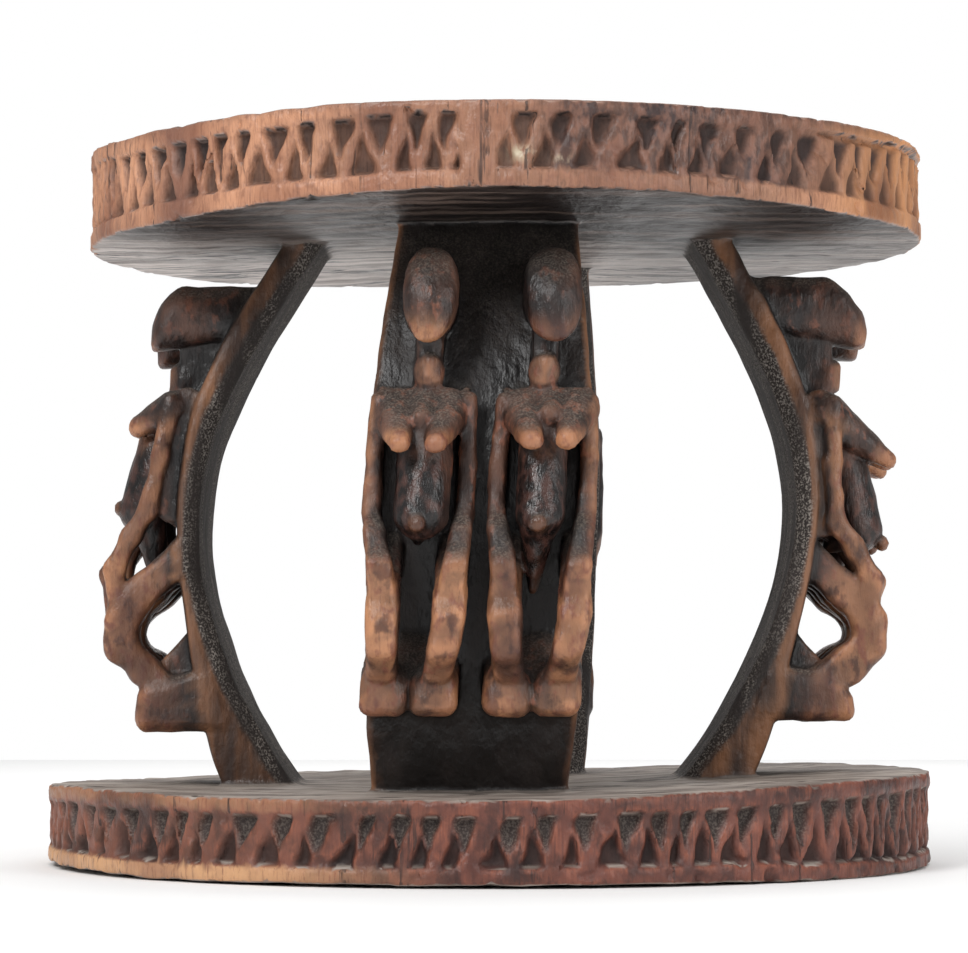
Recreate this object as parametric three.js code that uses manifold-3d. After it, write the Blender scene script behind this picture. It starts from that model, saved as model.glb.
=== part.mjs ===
// A round stool carved from one block of wood. A seat disc and a base disc are joined by four
// bowed supports, and each support carries a pair of seated figures in high relief.
// Millimetres, +Z up, front towards -Y. The origin is at the middle of the underside.

import * as THREE from 'three';
import { ConvexGeometry } from 'three/addons/geometries/ConvexGeometry.js';
import { mergeVertices } from 'three/addons/utils/BufferGeometryUtils.js';
import Module from 'manifold-3d';

const wasm = await Module();
wasm.setup();

// Discs
const BASE_RADIUS = 200;
const BASE_TOP = 38;
const SEAT_RADIUS = 190.3;
const SEAT_CENTRE_X = 6.5;
const SEAT_UNDERSIDE = 281;
const SEAT_TOP = 320.5;

// Zigzag band cut into each rim, as triangular pits above and below a raised wavy ridge
const BASE_ZIGZAGS = 76;
const BASE_BAND = { low: 8, high: 30 };
const SEAT_ZIGZAGS = 76;
const SEAT_BAND = { low: 291, high: 311 };
const PIT_HALF_WIDTH = 5.9;
const PIT_DEPTH = 2.8;
const PIT_TIP_GAP = 3.2;
const PIT_DEEPEST_SHARE = 0.36;
const CUTTER_OVERHANG = 0.8;

// Support panels: at each height the radius of the inner and outer face and the half width
const PANEL_SECTIONS = [
  { z: 30, inner: 80, outer: 115, half: 40.5 },
  { z: 52, inner: 96.5, outer: 125.5, half: 43 },
  { z: 74, inner: 110, outer: 130.5, half: 45 },
  { z: 94, inner: 118.5, outer: 134, half: 45.5 },
  { z: 114, inner: 126.5, outer: 139.5, half: 46 },
  { z: 136, inner: 131.5, outer: 142.5, half: 47 },
  { z: 160, inner: 133, outer: 143.5, half: 47.5 },
  { z: 185, inner: 130, outer: 142.5, half: 47 },
  { z: 208, inner: 122, outer: 137, half: 45.5 },
  { z: 230, inner: 112, outer: 129, half: 43.8 },
  { z: 256, inner: 97.5, outer: 115, half: 41.2 },
  { z: 292, inner: 75.5, outer: 92.5, half: 36.8 },
];
const PANEL_FRONT_BEVEL = 2.5;
const PANEL_BACK_BEVEL = 5;
const PANEL_SIDE_SHARE = 0.42;

// Each support is turned about the origin by quarter turns and moved along X by shift + lean * z
const SUPPORTS = [
  { quarter: 0, shift: -9.8, lean: 0.033, head: { low: 223.5, high: 264, reach: 160 },
    tip: { reach: 172, z: 183 }, knee: 175, foot: { low: 66, reach: 162 } },
  { quarter: 1, shift: -3.3, lean: 0.042, head: { low: 231, high: 264, reach: 163.5 },
    tip: { reach: 176, z: 182 }, knee: 176, foot: { low: 64, reach: 163 } },
  { quarter: 2, shift: 2.7, lean: 0.0231, head: { low: 227, high: 263, reach: 160 },
    tip: { reach: 172, z: 183 }, knee: 175, foot: { low: 63, reach: 162 } },
  { quarter: 3, shift: -3.3, lean: 0.042, head: { low: 230.5, high: 261, reach: 160 },
    tip: { reach: 167, z: 194 }, knee: 174.5, foot: { low: 60, reach: 160 } },
];

// Figures stand in pairs. Their points are measured sideways from the figure's middle, outwards
// from the stool's axis and upwards. A reach of null lies in the middle of the panel's thickness.
const FIGURE_SPACING = 25.5;

// Head, as rings from back to front: distance behind the face, share of the height that is
// missing above, height missing below, and half width
const HEAD_SIDES = 8;
const HEAD_RINGS = [
  { behind: null, above: 0, below: 2, half: 12.2 },
  { behind: 15, above: 0.012, below: 0, half: 12.2 },
  { behind: 4.5, above: 0.2, below: 0, half: 10.5 },
  { behind: 0, above: 0.5, below: 2, half: 6 },
];

const NECK = [
  { z: 211, half: 6.6, reach: 151 },
  { z: 234, half: 5.8, reach: 148 },
];
const NECK_BEVEL = 4.5;

const BELLY = [
  { z: 187, half: 11, reach: 162 },
  { z: 151, half: 10.5, reach: 172.5 },
  { z: 136, half: 3, reach: 165 },
];
const BELLY_BEVEL = 8;
const FRONT_SHARE = 0.45;
const NAVEL = { z: 147.5, back: 3.4, front: 2.4, inside: 164, reach: 176, sides: 6 };

// One half of the chest as [sideways, outwards, upwards], then the breast's pointed end as the
// same three measures from its tip
const CHEST = [
  [-0.5, null, 213],
  [-0.5, 149.5, 213],
  [18.5, null, 205],
  [18.5, 147, 203],
  [18.5, 152, 196],
  [17.5, null, 189],
  [-0.5, 155, 188],
  [-0.5, null, 186],
];
const TIP_OFFSET = 6.7;
const TIP = [
  [-2, -1, 3],
  [2, -1, 3],
  [0, 0, 0],
  [0, -9, -4],
];

// Arm outlines as [outwards, upwards]. The hand's reach is measured from the knee.
const ARM_OFFSET = 20.3;
const ARM_HALF = 3.5;
const UPPER_ARM = [[null, 206], [154, 204], [null, 150], [154, 148]];
const ELBOW = [[146, 158], [154, 153], [146, 143]];
const HAND_OFFSET = 17;
const HAND = [[-1.5, 133], [-2, 118]];

// Leg outlines as [outwards, upwards]. The second list of each piece is measured from the knee.
const LEG_HALF = 6.6;
const KNEE_HALF = 5.2;
const KNEE_EDGE = 165;
const LEG_OFFSET = { foot: 11, footZ: 80, top: 14.5, topZ: 120 };
const THIGH = { body: [[139, 150], [140, 131], [157, 101]], knee: [[0, 101], [0, 117]] };
const CALF = { body: [[160, 79], [131, 71], [131, 87], [157, 104]], knee: [[0, 106], [-1.5, 94]] };

// Foot edges as [outwards from the toes, upwards from the sole, share of the half width]
const FOOT_OFFSET = 10.5;
const FOOT_HALF = 9.8;
const FOOT_EDGES = [
  [null, 0, 1],
  [-2, 0, 1],
  [0, 7, 0.8],
  [-4, 18, 0.7],
  [null, 18, 0.9],
];

const WOOD_COLOUR = 0x4a3328;
const WOOD_ROUGHNESS = 0.6;

// Turns a closed geometry into a solid
function solid(geometry) {
  const bare = geometry.index ? geometry.toNonIndexed() : geometry;
  bare.deleteAttribute('normal');
  bare.deleteAttribute('uv');
  const merged = mergeVertices(bare);
  const vertProperties = new Float32Array(merged.attributes.position.array);
  const triVerts = new Uint32Array(merged.index.array);
  return new wasm.Manifold(new wasm.Mesh({ numProp: 3, vertProperties, triVerts }));
}

function hull(points) {
  return solid(new ConvexGeometry(points.map((p) => new THREE.Vector3(p[0], p[1], p[2]))));
}

function join(solids) {
  return solids.reduce((whole, piece) => whole.add(piece));
}

// Radius halfway between the panel's two faces, at a height
function panelMiddle(z) {
  const last = PANEL_SECTIONS.length - 1;
  let i = 0;
  while (i < last - 1 && PANEL_SECTIONS[i + 1].z < z) {
    i += 1;
  }
  const a = PANEL_SECTIONS[i];
  const b = PANEL_SECTIONS[i + 1];
  const share = (z - a.z) / (b.z - a.z);
  const inner = a.inner + share * (b.inner - a.inner);
  const outer = a.outer + share * (b.outer - a.outer);
  return (inner + outer) / 2;
}

// A point of a figure or panel: sideways, outwards and upwards
function at(side, reach, z) {
  return [side, reach === null ? -panelMiddle(z) : -reach, z];
}

// Bowed support panel, as a stack of eight-sided sections with bevelled edges
function panelSection(s) {
  const side = s.inner + PANEL_SIDE_SHARE * (s.outer - s.inner);
  const points = [];
  for (const sign of [-1, 1]) {
    points.push(at(sign * (s.half - PANEL_FRONT_BEVEL), s.outer, s.z));
    points.push(at(sign * s.half, s.outer - PANEL_FRONT_BEVEL, s.z));
    points.push(at(sign * s.half, side, s.z));
    points.push(at(sign * (s.half - PANEL_BACK_BEVEL), s.inner, s.z));
  }
  return points;
}

function panel() {
  const slabs = [];
  for (let i = 0; i + 1 < PANEL_SECTIONS.length; i += 1) {
    slabs.push(hull([...panelSection(PANEL_SECTIONS[i]), ...panelSection(PANEL_SECTIONS[i + 1])]));
  }
  return join(slabs);
}

// Upright body piece whose back lies inside the panel and whose front edges are bevelled
function uprightPiece(rings, bevel, centre) {
  const points = [];
  for (const ring of rings) {
    for (const sign of [-1, 1]) {
      points.push(at(centre + sign * ring.half, null, ring.z));
      points.push(at(centre + sign * ring.half, ring.reach - bevel, ring.z));
      points.push(at(centre + sign * ring.half * FRONT_SHARE, ring.reach, ring.z));
    }
  }
  return hull(points);
}

// Egg-shaped head: its front is domed, with the chin as the foremost point
function head(size, centre) {
  const points = [];
  for (const ring of HEAD_RINGS) {
    const top = size.high - ring.above * (size.high - size.low);
    const low = size.low + ring.below;
    const reach = ring.behind === null ? null : size.reach - ring.behind;
    for (let i = 0; i < HEAD_SIDES; i += 1) {
      const angle = (2 * Math.PI * (i + 0.5)) / HEAD_SIDES;
      const z = (top + low) / 2 + ((top - low) / 2) * Math.sin(angle);
      points.push(at(centre + ring.half * Math.cos(angle), reach, z));
    }
  }
  return hull(points);
}

// One half of the chest, a wedge from the shoulder to a pointed breast
function breast(sign, centre, tip) {
  const points = CHEST.map(([side, reach, z]) => at(centre + sign * side, reach, z));
  for (const [side, forward, up] of TIP) {
    points.push(at(centre + sign * TIP_OFFSET + side, tip.reach + forward, tip.z + up));
  }
  return hull(points);
}

function navel(centre) {
  const length = NAVEL.reach - NAVEL.inside;
  const geometry = new THREE.CylinderGeometry(NAVEL.back, NAVEL.front, length, NAVEL.sides);
  geometry.translate(centre, -NAVEL.inside - length / 2, NAVEL.z);
  return solid(geometry);
}

// Upper arm down the panel, then the forearm out to the hand on the knee
function arm(sign, centre, knee) {
  const upper = [];
  const fore = [];
  for (const edge of [-ARM_HALF, ARM_HALF]) {
    const elbowSide = centre + sign * (ARM_OFFSET + edge);
    const handSide = centre + sign * (HAND_OFFSET + edge);
    upper.push(...UPPER_ARM.map(([reach, z]) => at(elbowSide, reach, z)));
    fore.push(...ELBOW.map(([reach, z]) => at(elbowSide, reach, z)));
    fore.push(...HAND.map(([forward, z]) => at(handSide, knee + forward, z)));
  }
  return join([hull(upper), hull(fore)]);
}

// A leg piece: a convex side outline, a little narrower towards its front
function legPiece(outline, knee, centreOf) {
  const all = [...outline.body, ...outline.knee.map(([forward, z]) => [knee + forward, z])];
  const points = [];
  for (const [reach, z] of all) {
    const half = reach > KNEE_EDGE ? KNEE_HALF : LEG_HALF;
    for (const sign of [-1, 1]) {
      points.push(at(centreOf(z) + sign * half, reach, z));
    }
  }
  return hull(points);
}

function foot(side, size) {
  const points = [];
  for (const [forward, up, share] of FOOT_EDGES) {
    for (const sign of [-1, 1]) {
      const reach = forward === null ? null : size.reach + forward;
      points.push(at(side + sign * FOOT_HALF * share, reach, size.low + up));
    }
  }
  return hull(points);
}

function leg(sign, centre, s) {
  const { foot: low, footZ, top, topZ } = LEG_OFFSET;
  const centreOf = (z) => {
    const share = Math.min(1, Math.max(0, (z - footZ) / (topZ - footZ)));
    return centre + sign * (low + share * (top - low));
  };
  return join([
    legPiece(THIGH, s.knee, centreOf),
    legPiece(CALF, s.knee, centreOf),
    foot(centre + sign * FOOT_OFFSET, s.foot),
  ]);
}

function figure(centre, s) {
  const pieces = [
    head(s.head, centre),
    uprightPiece(NECK, NECK_BEVEL, centre),
    uprightPiece(BELLY, BELLY_BEVEL, centre),
    navel(centre),
  ];
  for (const sign of [-1, 1]) {
    pieces.push(breast(sign, centre, s.tip));
    pieces.push(arm(sign, centre, s.knee));
    pieces.push(leg(sign, centre, s));
  }
  return join(pieces);
}

// One support with its pair of figures, put in its place under the seat
function support(s) {
  const pieces = [panel(), figure(-FIGURE_SPACING, s), figure(FIGURE_SPACING, s)];
  const turned = join(pieces).rotate([0, 0, 90 * s.quarter]);
  return turned.warp((p) => {
    p[0] += s.shift + s.lean * p[2];
  });
}

// Pit cutter: three corners just outside the rim and one point at the bottom of the pit
function pit(radius, angle, halfAngle, wideZ, tipZ) {
  const outside = radius + CUTTER_OVERHANG;
  const deepZ = wideZ + (tipZ - wideZ) * PIT_DEEPEST_SHARE;
  const corner = (r, a, z) => [r * Math.cos(a), r * Math.sin(a), z];
  return hull([
    corner(outside, angle - halfAngle, wideZ),
    corner(outside, angle + halfAngle, wideZ),
    corner(outside, angle, tipZ),
    corner(radius - PIT_DEPTH, angle, deepZ),
  ]);
}

function disc(radius, low, high, band, count) {
  const geometry = new THREE.CylinderGeometry(radius, radius, high - low, count);
  geometry.rotateX(Math.PI / 2);
  geometry.rotateZ(Math.PI / 2);
  geometry.translate(0, 0, (low + high) / 2);
  const pitch = (2 * Math.PI) / count;
  const grow = 1 + CUTTER_OVERHANG / PIT_DEPTH;
  const halfAngle = (PIT_HALF_WIDTH * grow) / radius;
  const cutters = [];
  for (let i = 0; i < count; i += 1) {
    cutters.push(pit(radius, i * pitch, halfAngle, band.high, band.low + PIT_TIP_GAP));
    cutters.push(pit(radius, (i + 0.5) * pitch, halfAngle, band.low, band.high - PIT_TIP_GAP));
  }
  return cutters.reduce((whole, cutter) => whole.subtract(cutter), solid(geometry));
}

// The whole stool
const base = disc(BASE_RADIUS, 0, BASE_TOP, BASE_BAND, BASE_ZIGZAGS);
const seat = disc(SEAT_RADIUS, SEAT_UNDERSIDE, SEAT_TOP, SEAT_BAND, SEAT_ZIGZAGS)
  .translate([SEAT_CENTRE_X, 0, 0]);
const whole = join([base, seat, ...SUPPORTS.map(support)]);

const result = whole.getMesh();
const stoolGeometry = new THREE.BufferGeometry();
stoolGeometry.setAttribute('position', new THREE.BufferAttribute(result.vertProperties, 3));
stoolGeometry.setIndex(new THREE.BufferAttribute(result.triVerts, 1));
stoolGeometry.computeVertexNormals();

const wood = new THREE.MeshStandardMaterial({ color: WOOD_COLOUR, roughness: WOOD_ROUGHNESS, metalness: 0 });
const stool = new THREE.Mesh(stoolGeometry, wood);
stool.name = 'stool';

const group = new THREE.Group();
group.add(stool);

export default group;
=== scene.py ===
import math

import bpy
import numpy as np
from mathutils import Matrix


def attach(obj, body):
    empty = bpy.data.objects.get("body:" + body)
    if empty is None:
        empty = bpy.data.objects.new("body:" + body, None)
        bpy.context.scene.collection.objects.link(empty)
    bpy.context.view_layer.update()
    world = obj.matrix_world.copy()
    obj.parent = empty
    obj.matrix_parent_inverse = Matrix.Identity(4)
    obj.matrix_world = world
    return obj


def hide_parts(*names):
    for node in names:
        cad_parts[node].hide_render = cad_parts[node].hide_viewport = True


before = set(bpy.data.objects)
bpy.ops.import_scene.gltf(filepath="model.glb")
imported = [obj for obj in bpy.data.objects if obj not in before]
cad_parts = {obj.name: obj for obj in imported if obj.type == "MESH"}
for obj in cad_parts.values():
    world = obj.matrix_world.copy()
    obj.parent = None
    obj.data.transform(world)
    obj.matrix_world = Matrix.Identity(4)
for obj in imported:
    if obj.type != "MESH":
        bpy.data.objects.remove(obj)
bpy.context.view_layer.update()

# Camera, fitted on the rims of both discs in the photograph
IMAGE_WIDTH = 968
FOCAL_PIXELS = 3636.4
SENSOR_WIDTH = 36.0
CAMERA_PLACE = (0.0022, -1.6623, 0.094)
CAMERA_PITCH = 0.049
CAMERA_YAW = -0.003

# Discs, in millimetres. The mesh is cut off level at LOWEST and HIGHEST. RIM_EDGE rounds the edge
# between rim and faces, and FACE_EDGE the meeting of the two faces.
BASE_RADIUS = 200.0
BASE_TOP = 36.0
SEAT_RADIUS = 190.3
SEAT_CENTRE_X = 6.5
SEAT_UNDERSIDE = 281.8
SEAT_TOP = 322.8
LOWEST = 0.1
HIGHEST = 320.6
RIM_INSET = 0.2
RIM_EDGE = 1.2
FACE_EDGE = 1.0
FRONT = -math.pi / 2

# Carved bands round the rims: number of zigzags, plain borders below and above, and the angles
# where the ridges are thick, where they stand closer and where they are worn down
RIMS = {
    "base": dict(count=80, below=6.4, above=6.6, thick_at=FRONT - 0.30, close_at=FRONT + 0.80,
                 worn_at=FRONT + 2.6, seed=23),
    "seat": dict(count=76, below=7.6, above=6.8, thick_at=FRONT + 0.45, close_at=FRONT - 0.90,
                 worn_at=FRONT + 1.05, seed=11),
}
PIT_DEPTH = 4.4
PIT_SLOPE = 2.9
WORN_DOWN = 1.7

# Half widths of a ridge where the rim's ridges are alike, and of the strong and the weak ones where
# they are thick. Below zero a ridge is almost lost. Ridges end in round feet at RIDGE_FOOT of the
# band's height, and lie RIDGE_DROP lower than the borders.
THIN_RIDGE = 1.0
THICK_RIDGE = 2.6
WEAK_RIDGE = -0.6
RIDGE_FOOT = 0.13
RIDGE_DROP = 0.7

# Split under the seat's upper border, and the smooth place in its band, as angles from the front.
# A fine crack runs down the smooth place's left side.
SPLIT_ANGLES = (0.62, 1.62)
SPLIT_HALF_HEIGHT = 1.25
SPLIT_DEPTH = 4.0
PLAIN_PLACE = (-0.105, 0.0)
CRACK_HALF_WIDTH = 0.7
CRACK_DEPTH = 0.8

# Unevenness left by the tools: height, length of the bumps and, but for the rims, seed
RIM_MARKS = (0.30, 26.0), (0.34, 7.5)
PANEL_MARKS = (0.30, 13.0, 40)
FIGURE_MARKS = (0.22, 7.0, 70), (0.30, 15.0, 80)

# Support panels: height, radius of the inner and outer face, half width
PANEL_PROFILE = np.array([
    (24.0, 75.0, 111.0, 40.0),
    (44.0, 91.0, 121.0, 42.0),
    (58.0, 100.5, 127.0, 43.6),
    (74.0, 110.0, 130.5, 45.0),
    (94.0, 118.5, 134.0, 45.5),
    (114.0, 126.5, 139.5, 46.2),
    (136.0, 131.5, 142.5, 47.2),
    (160.0, 133.0, 143.5, 47.6),
    (185.0, 130.0, 142.5, 47.2),
    (208.0, 122.0, 137.0, 45.6),
    (230.0, 112.0, 129.0, 43.8),
    (256.0, 97.5, 115.0, 41.2),
    (281.0, 82.0, 99.5, 38.4),
    (300.0, 71.0, 88.0, 36.4),
])
PANEL_MIDDLE = 160.0
PANEL_SPAN = 140.0
PANEL_CHAMFER = 6.0
PANEL_CORNER = 3.4

# Each support: quarter turns, sideways shift and lean, and its figures' main points as
# (reach, height). heads, tips and further give one value for each figure of the pair.
SUPPORTS = [
    dict(quarter=0, shift=-9.8, lean=0.033, figure_lean=0.021,
         heads=((223.6, 265.0, 160.5), (223.8, 265.2, 160.5)), dome=240.0, neck=(150.0, 212.5),
         chest=(145.0, 196.3, 10.4), tips=((171.5, 180.6, 3.9), (171.5, 182.0, 3.9)),
         belly=((153.0, 182.0), (161.8, 152.0)), navel=148.0, elbow=(151.0, 153.0), hand=(168.6, 130.5),
         knee=172.8, calf=(157.5, 89.5, 6.2), foot=(68.5, 161.8, 0.16, 17.0), further=(0.0, 0.0)),
    dict(quarter=1, shift=-3.3, lean=0.042, figure_lean=0.0,
         heads=((231.2, 264.6, 163.2), (229.6, 264.6, 165.0)), dome=238.0, neck=(152.6, 219.0),
         chest=(144.8, 202.2, 10.8), tips=((173.6, 180.6, 3.4), (175.0, 179.2, 3.4)),
         belly=((153.8, 184.0), (163.2, 150.0)), navel=144.0, elbow=(150.4, 153.0), hand=(168.9, 127.0),
         knee=174.6, calf=(158.6, 89.0, 7.6), foot=(64.6, 163.8, 0.25, 15.5), further=(0.0, 6.0)),
    dict(quarter=2, shift=2.7, lean=0.0231, figure_lean=0.0,
         heads=((227.0, 263.0, 160.0), (227.0, 263.4, 160.0)), dome=240.0, neck=(150.5, 215.0),
         chest=(145.0, 200.0, 10.5), tips=((171.0, 183.0, 3.9), (171.5, 182.0, 3.9)),
         belly=((153.4, 184.0), (162.0, 151.5)), navel=147.0, elbow=(151.0, 154.0), hand=(168.6, 129.0),
         knee=174.0, calf=(157.8, 90.0, 6.6), foot=(63.4, 161.6, 0.18, 17.0), further=(0.0, 0.0)),
    dict(quarter=3, shift=-3.3, lean=0.042, figure_lean=0.0,
         heads=((226.2, 260.6, 161.2), (230.2, 260.0, 159.4)), dome=240.0, neck=(150.6, 217.5),
         chest=(147.4, 203.6, 9.8), tips=((162.6, 192.6, 4.9), (161.0, 196.4, 5.0)),
         belly=((153.6, 186.0), (159.6, 159.0)), navel=160.0, elbow=(155.6, 159.0), hand=(169.4, 131.5),
         knee=171.6, calf=(155.8, 88.4, 5.6), foot=(59.8, 157.4, 0.02, 20.0), further=(7.0, 0.0)),
]

# How the left and the right figure of each pair differ, all sideways from the figure's middle
FIGURE_SPACING = 25.5
FIGURES = (
    dict(head=(11.4, -0.02), neck=0.8, tips=(-8.2, 5.2), belly=(1.2, 11.6), point=141.0, arms=(-19.8, 18.8),
         legs=((-12.0, -11.6), (15.0, 10.6))),
    dict(head=(12.1, -0.07), neck=-1.9, tips=(-5.0, 8.0), belly=(-0.6, 10.2), point=121.0, arms=(-18.8, 18.6),
         legs=((-13.0, -9.6), (15.4, 10.6))),
)

# Half widths of arm, leg and foot, how far the feet stand from the figure's middle, how round
# they are, and the arm's reach at the shoulder
ARM_HALF = 3.9
LEG_HALF = 6.9
FOOT_SIDE = 10.3
FOOT_HALF = 10.0
FOOT_ROUND = 5.5
SHOULDER_REACH = 147.6

# Sculpting grid, in millimetres
VOXEL = 1.3
GRID_LOW = np.array([-204.0, -204.0, -4.0])
GRID_HIGH = np.array([204.0, 204.0, 325.0])
MOST_TRIANGLES = 196000


# Small helpers for smooth shapes
def smooth_min(a, b, k):
    h = np.clip(0.5 + 0.5 * (b - a) / k, 0.0, 1.0)
    return b + (a - b) * h - k * h * (1.0 - h)


def smooth_max(a, b, k):
    return -smooth_min(-a, -b, k)


def smooth_step(x):
    x = np.clip(x, 0.0, 1.0)
    return x * x * (3.0 - 2.0 * x)


def between(x, start, fade_in, stop, fade_out):
    """1 between start and stop, fading to 0 at both within the given widths."""
    return smooth_step((x - start) / fade_in) * smooth_step((stop - x) / fade_out)


def waves(x, y, z, length, seed):
    """Soft repeatable unevenness between about -1 and 1, with bumps of the given length."""
    rng = np.random.default_rng(seed)
    total = 0.0
    for _ in range(7):
        direction = rng.normal(size=3)
        direction /= np.linalg.norm(direction)
        step = 2.0 * math.pi / (length * rng.uniform(0.7, 1.6))
        phase = rng.uniform(0.0, 2.0 * math.pi)
        total = total + np.sin((x * direction[0] + y * direction[1] + z * direction[2]) * step + phase)
    return total / 3.2


def rod(p, a, b, ra, rb, broad=1.0):
    """Distance to a round-ended rod from a to b. broad over 1 makes it wider sideways."""
    a = np.array(a, float)
    d = np.array(b, float) - a
    q = [(p[0] - a[0]), p[1] - a[1], p[2] - a[2]]
    h = np.clip((q[0] * d[0] + q[1] * d[1] + q[2] * d[2]) / float(d @ d), 0.0, 1.0)
    side = (q[0] - h * d[0]) / broad
    dist = np.sqrt(side ** 2 + (q[1] - h * d[1]) ** 2 + (q[2] - h * d[2]) ** 2)
    return dist - (ra + (rb - ra) * h)


def limb(p, points, corner, blend):
    """A flat-sided limb from top to bottom through points (side, reach, height, half width, half depth)."""
    away = None
    for a, b in zip(points[:-1], points[1:]):
        dr = b[1] - a[1]
        dz = b[2] - a[2]
        h = np.clip(((p[1] - a[1]) * dr + (p[2] - a[2]) * dz) / (dr * dr + dz * dz), 0.0, 1.0)
        piece = np.hypot(p[1] - a[1] - h * dr, p[2] - a[2] - h * dz) - (a[4] + (b[4] - a[4]) * h)
        away = piece if away is None else smooth_min(away, piece, blend)
    rising = np.array(points[::-1])
    side = np.interp(p[2], rising[:, 2], rising[:, 0])
    half = np.interp(p[2], rising[:, 2], rising[:, 3])
    return smooth_max(away, np.abs(p[0] - side) - half, corner)


def ellipsoid(p, centre, radii):
    q = [(p[i] - centre[i]) for i in range(3)]
    k0 = np.sqrt(sum((q[i] / radii[i]) ** 2 for i in range(3)))
    k1 = np.sqrt(sum((q[i] / radii[i] ** 2) ** 2 for i in range(3))) + 1e-6
    return k0 * (k0 - 1.0) / k1


# Support panel, bowed outwards
PANEL_FIT = [np.polyfit((PANEL_PROFILE[:, 0] - PANEL_MIDDLE) / PANEL_SPAN, PANEL_PROFILE[:, i], 7)
             for i in (1, 2, 3)]


def panel_faces(z):
    u = np.clip((z - PANEL_MIDDLE) / PANEL_SPAN, -0.98, 1.0)
    return [np.polyval(fit, u) for fit in PANEL_FIT]


def panel_shape(t, r, z):
    step = 4.0
    inner, outer, half = panel_faces(z)
    above = panel_faces(z + step)
    below = panel_faces(z - step)
    slope_in = 1.0 / np.hypot(1.0, (above[0] - below[0]) / (2 * step))
    slope_out = 1.0 / np.hypot(1.0, (above[1] - below[1]) / (2 * step))
    crown = 1.2 * (t / 45.0) ** 2
    front = (r - outer + crown) * slope_out
    back = (inner - r) * slope_in
    side = np.abs(t) - half
    chamfer = (side + back + PANEL_CHAMFER) * 0.7071
    d = smooth_max(front, side, PANEL_CORNER)
    d = np.maximum(d, back)
    d = smooth_max(d, chamfer, 1.2)
    groove = np.hypot(side, back + PANEL_CHAMFER + 1.2) - 0.9
    return smooth_max(d, -groove, 0.8)


# Parts of a seated figure in relief. p is (side, reach, height) from the figure's middle.
def head_shape(p, size, look, dome):
    low, high, reach = size
    width, tilt = look
    low = low + 0.14 * np.clip(reach - p[1], 0.0, 40.0)
    half = (high - low) / 2.0
    up = (p[2] - (high + low) / 2.0) / half
    side = p[0] - tilt * (p[2] - (high + low) / 2.0)
    power = 2.35
    k = (np.abs(side / width) ** power + np.abs(up) ** power) ** (1.0 / power)
    outline = (k - 1.0) * width
    above = np.maximum(p[2] - dome, 0.0)
    face = p[1] - (reach - 0.026 * above ** 2 - 0.034 * side ** 2)
    return smooth_max(outline, face * 0.87, 3.0)


def neck_shape(p, reach, height, top):
    """Square column up to the chin, with a wedge-fronted knob at its foot."""
    from_middle = np.abs(p[2] - (top + height - 6.0) / 2.0)
    column = np.maximum(np.abs(p[0]) - 5.6, from_middle - (top - height + 10.0) / 2.0)
    column = smooth_max(column, p[1] - (reach - 4.4), 2.6)
    wedge = np.abs(p[0]) * 0.56 + (p[1] - reach) * 0.83
    knob = smooth_max(ellipsoid(p, (0.0, reach - 6.4, height), (6.6, 8.2, 8.4)), wedge, 1.0)
    return smooth_min(column, knob, 0.8)


def chest_shape(p, chest, tip, sides):
    """Sloping plate from the shoulders down to two pointed lobes, cut away underneath."""
    reach, height, radius = chest
    middle = 0.7 * (sides[0] + sides[1]) / 2.0
    shoulders = [(middle + sign * 11.0, reach - 3.0, height + 1.5) for sign in (-1, 1)]
    shape = rod(p, shoulders[0], shoulders[1], radius - 2.4, radius - 2.4)
    breastbone = (middle, reach - 2.4, height + 1.0)
    bib = rod(p, breastbone, (middle, tip[0] - 12.0, tip[1] + 11.0), radius - 2.4, 4.8)
    shape = smooth_min(shape, bib, 3.0)
    for index, sign in enumerate((-1, 1)):
        base = (middle + sign * 12.2, reach, height - 0.5)
        end = (sides[index] + sign * 0.8, tip[0], tip[1])
        breast = rod(p, base, end, radius - 1.2, tip[2] + 0.9)
        shape = smooth_min(shape, breast, 1.2)
    beside = np.maximum(np.abs(p[0] - middle) - 9.0, 0.0)
    under = (tip[1] - tip[2] + 0.2) + 0.34 * (tip[0] - p[1]) + 0.30 * beside - p[2]
    return smooth_max(shape, under * 0.9, 1.6)


def belly_shape(p, top, bottom, belly, point):
    side, half = belly
    radius = 10.5
    broad = half / radius
    shape = rod(p, (side, top[0], top[1]), (side, bottom[0], bottom[1]), radius, radius, broad)
    taper = rod(p, (side, bottom[0] - 1.0, bottom[1]), (side - 1.2, 149.5, point), radius - 1.2, 2.0, broad)
    return smooth_min(shape, taper, 2.5)


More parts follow.
